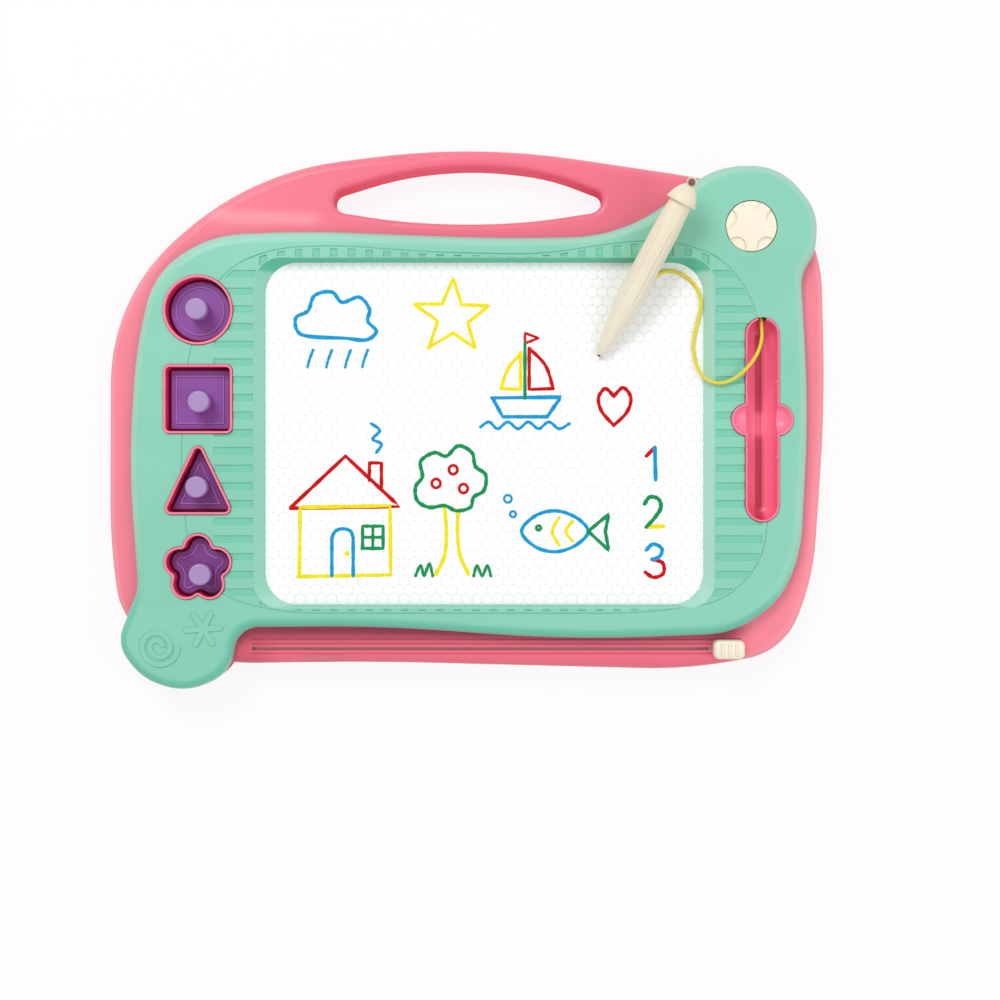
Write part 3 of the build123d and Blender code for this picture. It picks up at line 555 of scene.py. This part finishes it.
# Cord: the route's points, the smooth line they control, and the braided tube along it
cord_route = [
    (171.65, 60.5, 24.3), (171.9, 54.6, 25.1), (171.8, 48.4, 28.2), (170.4, 42.0, 31.8),
    (167.4, 35.4, 34.0), (162.9, 29.2, 34.3), (157.3, 24.0, 33.1), (151.4, 20.7, 32.3),
    (145.8, 19.7, 32.4), (140.7, 21.0, 31.2), (136.6, 24.9, 27.6), (134.4, 30.2, 24.4),
    (133.0, 35.9, 23.9), (132.2, 41.4, 23.8), (132.9, 48.9, 23.8), (134.9, 56.2, 23.9),
    (136.8, 63.2, 23.8), (137.0, 70.0, 24.1), (134.6, 76.3, 24.0), (130.4, 81.3, 23.8),
    (124.7, 84.9, 23.9), (118.3, 86.4, 23.8), (112.6, 85.1, 23.8), (108.2, 81.0, 23.8),
    (104.0, 79.0, 23.9), (99.9, 80.6, 24.6), (98.3, 84.8, 27.0), (99.0, 89.1, 30.3),
    (101.2, 93.3, 32.6), (104.3, 98.2, 32.7), (108.2, 105.0, 32.2), (113.2, 112.2, 32.3),
    (118.3, 118.9, 33.2), (122.4, 124.2, 35.0), (125.8, 129.2, 37.6), (128.1, 132.6, 41.3),
    (128.64, 133.69, 45.87), (128.11, 132.69, 50.23),
]
route_data = bpy.data.curves.new("cord route", "CURVE")
route_data.dimensions = "3D"
route_data.resolution_u = 12
spline = route_data.splines.new("NURBS")
spline.points.add(len(cord_route) - 1)
for point, (x, y, z) in zip(spline.points, cord_route):
    point.co = (x * MM, y * MM, z * MM, 1.0)
spline.order_u = 3
spline.use_endpoint_u = True
route_object = add_object("cord_route", route_data)
bpy.context.view_layer.update()
line = bpy.data.meshes.new_from_object(route_object)
cord_line = [vertex.co.copy() for vertex in line.vertices]
bpy.data.objects.remove(route_object)


def tube(name, path, radius, around=14):
    """Closed round tube along a path, with the turn round it and the distance along it as its UV map."""
    built = bmesh.new()
    layer = built.loops.layers.uv.new("cord")
    rings = []
    side = Vector((0, 0, 1))
    travelled = [0.0]
    for index, point in enumerate(path):
        ahead = path[min(index + 1, len(path) - 1)] - path[max(index - 1, 0)]
        ahead.normalize()
        side = (side - ahead * side.dot(ahead)).normalized()
        other = ahead.cross(side)
        if index:
            travelled.append(travelled[-1] + (point - path[index - 1]).length)
        made = []
        for step in range(around):
            angle = 2 * math.pi * step / around
            rim = point + side * math.cos(angle) * radius + other * math.sin(angle) * radius
            made.append(built.verts.new(rim))
        rings.append(made)
    for index, (one, two) in enumerate(zip(rings, rings[1:])):
        for step in range(around):
            after = (step + 1) % around
            face = built.faces.new((one[step], one[after], two[after], two[step]))
            corners = ((step, index), (step + 1, index), (step + 1, index + 1), (step, index + 1))
            for loop, (turn, along) in zip(face.loops, corners):
                loop[layer].uv = (turn / around, travelled[along] / (2 * math.pi * radius))
            face.smooth = True
    built.faces.new(list(reversed(rings[0])))
    built.faces.new(rings[-1])
    bmesh.ops.recalc_face_normals(built, faces=built.faces)
    mesh = bpy.data.meshes.new(name)
    built.to_mesh(mesh)
    built.free()
    return add_object(name, mesh)


cord_piece = tube("cord", cord_line, CORD_ACROSS / 2 * MM)
cord_piece.data.materials.append(cord_yellow)
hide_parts("pen_cord")
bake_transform(cord_piece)


# Drawings on the screen: plain motifs in felt-pen strokes
def spline_value(p, q, r, s, t):
    """Value at t from q to r on the smooth line through p, q, r and s."""
    return 0.5 * (2 * q + (r - p) * t + (2 * p - 5 * q + 4 * r - s) * t * t
                  + (3 * q - p - 3 * r + s) * t ** 3)


def through(points, closed, steps=9):
    """Smooth line through given points."""
    count = len(points)
    found = []
    for index in range(count if closed else count - 1):
        near = range(index - 1, index + 3)
        four = [points[k % count] if closed else points[min(max(k, 0), count - 1)] for k in near]
        for step in range(steps):
            found.append(tuple(spline_value(*values, step / steps) for values in zip(*four)))
    found.append(found[0] if closed else tuple(points[-1]))
    return found


def rounded_end(section, sign):
    """Narrowing sections from a line's end outwards."""
    x, y, dx, dy, half = section
    found = []
    for share in (0.8, 0.45, 0.12):
        out = sign * math.cos(share * math.pi / 2)
        narrow = half * math.sin(share * math.pi / 2)
        found.append((x + dx * half * out, y + dy * half * out, dx, dy, narrow))
    return found


def stroke(built, points, width, low, high):
    """One flat felt-pen line with round ends and a slightly uneven width, as a thin closed strip.

    Its top climbs a hair from start to end, so that a line that meets itself doesn't lie in one plane.
    """
    sections = []
    for index, (x, y) in enumerate(points):
        ax, ay = points[max(index - 1, 0)]
        bx, by = points[min(index + 1, len(points) - 1)]
        length = math.hypot(bx - ax, by - ay) or 1.0
        uneven = 1 + 0.10 * math.sin(index * 1.3 + x * 0.4) + 0.06 * math.sin(index * 0.37 + y)
        sections.append((x, y, (bx - ax) / length, (by - ay) / length, width / 2 * uneven))
    start = rounded_end(sections[0], -1)[::-1]
    end = rounded_end(sections[-1], 1)
    course = start + sections + end
    rings = []
    for index, (x, y, dx, dy, half) in enumerate(course):
        corners = ((x - dy * half, y + dx * half), (x + dy * half, y - dx * half))
        top = high + STROKE_CLIMB * index / len(course)
        places = [(cx * MM, cy * MM, z * MM) for z in (low, top) for cx, cy in corners]
        rings.append([built.verts.new(place) for place in places])
    for (a, b, c, d), (e, f, g, h) in zip(rings, rings[1:]):
        for face in ((c, d, h, g), (b, a, e, f), (a, c, g, e), (d, b, f, h)):
            built.faces.new(face)
    a, b, c, d = rings[0]
    built.faces.new((a, b, d, c))
    a, b, c, d = rings[-1]
    built.faces.new((b, a, c, d))


drawings = {
    "red": (FELT_RED, []),
    "yellow": (FELT_YELLOW, []),
    "blue": (FELT_BLUE, []),
    "green": (FELT_GREEN, []),
}


def curve(colour, width, *points, closed=False):
    drawings[colour][1].append((through(points, closed), width))


def straight(colour, width, *corners):
    """Straight strokes as a child draws them, with points enough for an uneven edge."""
    found = []
    for (ax, ay), (bx, by) in zip(corners, corners[1:]):
        found += [(ax + (bx - ax) * k / 8, ay + (by - ay) * k / 8) for k in range(8)]
    drawings[colour][1].append((found + [corners[-1]], width))


def oval(colour, width, x, y, across, tall=None, turns=24):
    tall = tall or across
    angles = [math.radians(360.0 * k / turns) for k in range(turns + 1)]
    curve(colour, width, *((x + across / 2 * math.cos(a), y + tall / 2 * math.sin(a)) for a in angles))


# House
straight("yellow", 1.9, (-98, -92), (-97.5, -52), (-45, -51), (-44.5, -91.5), (-98.5, -92.5))
straight("red", 2.0, (-103, -52), (-71, -22), (-39.5, -51.5), (-103, -52.5))
straight("red", 1.8, (-57, -36), (-57, -26), (-50, -26), (-50, -41))
straight("blue", 1.8, (-79, -92), (-79, -70))
curve("blue", 1.8, (-79, -70), (-77, -66), (-72.5, -64.5), (-68, -66), (-66.5, -70))
straight("blue", 1.8, (-66.5, -70), (-66.5, -92))
straight("green", 1.7, (-61, -76), (-61, -63), (-49, -63), (-49, -76), (-61.5, -76))
straight("green", 1.5, (-55, -76), (-55, -63))
straight("green", 1.5, (-61, -69.5), (-49, -69.5))
oval("yellow", 1.2, -70, -79, 1.8)
curve("blue", 1.6, (-53, -20), (-50, -15), (-55, -12), (-51, -7), (-56, -3))
# Tree
curve("green", 1.9, (-22, -52), (-29, -48), (-30, -40), (-26, -34), (-27, -25), (-19, -20), (-12, -22),
      (-5, -16), (3, -20), (5, -28), (11, -33), (10, -42), (4, -46), (2, -52), (-6, -54), (-13, -51),
      closed=True)
curve("yellow", 1.9, (-13, -52), (-12, -66), (-13, -80), (-18, -91))
curve("yellow", 1.9, (-5, -53), (-5.5, -66), (-4, -80), (1, -91))
for x, y in ((-18, -38), (-8, -30), (-2, -41)):
    oval("red", 1.5, x, y, 5.0, 5.2)
curve("green", 1.5, (-30, -92), (-27, -86), (-25, -92), (-22, -85), (-20, -92))
curve("green", 1.5, (4, -92), (6, -86), (9, -92), (12, -86), (14, -92))
# Cloud and rain
curve("blue", 1.9, (-92, 48), (-99, 51), (-100, 59), (-93, 63), (-89, 72), (-79, 74), (-73, 68), (-63, 71),
      (-57, 64), (-58, 57), (-53, 51), (-59, 46), (-72, 47), closed=True)
for x in (-90, -79, -68, -58):
    curve("blue", 1.4, (x, 40), (x - 2.2, 34), (x - 3.2, 30))
# Star
straight("yellow", 1.8, (-22, 42), (-17, 57), (-31, 67), (-14.5, 67), (-8, 82), (-3, 66.5), (13, 66),
         (0.5, 56), (5, 41), (-8, 50), (-22.5, 41.5))
# Boat on the water
straight("blue", 1.9, (15, 12), (21, 1), (47, 1), (55, 12.5), (14.5, 12))
straight("green", 1.7, (34, 12), (34, 44))
curve("red", 1.8, (36.5, 41), (46, 31), (50.5, 17.5))
straight("red", 1.8, (50.5, 17.5), (36.5, 17), (36.5, 41))
curve("yellow", 1.8, (31.5, 38), (24, 29), (20, 17.5))
straight("yellow", 1.8, (20, 17.5), (31.5, 17), (31.5, 38.5))
straight("red", 1.4, (34, 44), (42, 47), (34, 50), (34, 44))
curve("blue", 1.5, (8, -5), (13, -2), (18, -6), (24, -2), (30, -6), (36, -2), (42, -6), (48, -2), (54, -6),
      (60, -3))
# Fish
curve("blue", 1.8, (32, -66), (40, -57), (52, -54), (64, -58), (71, -66), (64, -74), (52, -78), (40, -75),
      closed=True)
straight("green", 1.8, (71, -66), (83, -56), (81, -66), (83, -77), (71, -66))
curve("yellow", 1.6, (54, -58), (50, -66), (54, -74))
curve("yellow", 1.6, (62, -60), (58, -66), (62, -72))
oval("green", 1.4, 42, -64, 2.6)
oval("blue", 1.2, 27, -56, 3.4)
oval("blue", 1.2, 24, -47, 4.4)
# Heart
curve("red", 1.9, (86, -4), (79, 4), (77, 12), (81, 17.5), (86, 13))
curve("red", 1.9, (86, 13), (91.5, 18), (96, 12), (93.5, 3.5), (86, -4))
# Numbers
straight("red", 2.0, (105, -22), (110, -17))
straight("blue", 2.0, (110, -17), (110.5, -36))
curve("green", 2.0, (104, -50), (107, -46), (112, -47), (113.5, -52), (110, -58), (105, -63.5))
straight("yellow", 2.0, (105, -63.5), (115, -63))
curve("blue", 2.0, (105, -77), (109, -73.5), (114, -76), (113, -80.5), (108.5, -82.5))
curve("red", 2.0, (108.5, -82.5), (114.5, -84.5), (115, -90.5), (109.5, -93), (104.5, -90))

# Each colour is one piece, and lines lie at different heights so that none shares a plane with another
for level, (name, (colour, strokes)) in enumerate(drawings.items()):
    built = bmesh.new()
    for order, (points, width) in enumerate(strokes):
        top = SCREEN_TOP + STROKE_TOP + COLOUR_RISE * level + ORDER_RISE * (order % 7)
        stroke(built, points, width * STROKE_SHARE, SCREEN_TOP + STROKE_FLOOR, top)
    mesh = bpy.data.meshes.new("drawing " + name)
    built.to_mesh(mesh)
    built.free()
    piece = add_object("screen_drawing_" + name, mesh)
    mesh.materials.append(felt_pen("felt pen " + name, colour))
    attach(piece, "board")


def seen_by(n, first, second):
    """1 for two kinds of ray, 0 for the others."""
    rays = n.add("ShaderNodeLightPath").outputs
    return n.math("MAXIMUM", rays[first], rays[second])


# Floor: pale and matt, with a white glow that only a look or a reflection sees
floor_mesh = bpy.data.meshes.new("floor")
floor_corners = [(x * FLOOR_HALF, y * FLOOR_HALF, 0) for x, y in ((-1, -1), (1, -1), (1, 1), (-1, 1))]
floor_mesh.from_pydata(floor_corners, [], [(0, 1, 2, 3)])
floor = add_object("floor", floor_mesh)
floor_material = bpy.data.materials.new("floor")
floor_material.use_nodes = True
floor_mesh.materials.append(floor_material)
n = Nodes(floor_material.node_tree)
matt = n.add("ShaderNodeBsdfDiffuse")
matt.inputs["Color"].default_value = (FLOOR_GREY, FLOOR_GREY, FLOOR_GREY, 1.0)
glow = n.add("ShaderNodeEmission")
glow.inputs["Color"].default_value = WHITE
both = n.add("ShaderNodeMixShader")
seen = seen_by(n, "Is Camera Ray", "Is Glossy Ray")
n.link(n.product(seen, GLOW_SHARE), both.inputs[0])
n.link(matt.outputs[0], both.inputs[1])
n.link(glow.outputs[0], both.inputs[2])
n.link(both.outputs[0], n.add("ShaderNodeOutputMaterial").inputs[0])

# Sky: white to look at, and less bright as light on the object
world = bpy.data.worlds.new("studio")
world.use_nodes = True
bpy.context.scene.world = world
n = Nodes(world.node_tree)
sky = n.add("ShaderNodeBackground")
sky.inputs["Color"].default_value = WHITE
seen = seen_by(n, "Is Camera Ray", "Is Transmission Ray")
n.link(n.span(seen, 0.0, 1.0, SKY_LEVEL, 1.0), sky.inputs["Strength"])
n.link(sky.outputs[0], n.add("ShaderNodeOutputWorld").inputs[0])


def lamp(name, place, size, power):
    """Round soft lamp that faces the middle of the board."""
    data = bpy.data.lights.new(name, "AREA")
    data.shape = "DISK"
    data.size = size
    data.energy = power
    made = add_object(name, data)
    made.location = place
    made.rotation_euler = (-Vector(place)).to_track_quat("-Z", "Y").to_euler()


lamp("key", (-0.6, 1.0, 1.45), 0.8, 14.0)
lamp("fill", (1.1, -0.5, 1.3), 1.2, 7.5)

bpy.context.scene.view_settings.view_transform = "Standard"
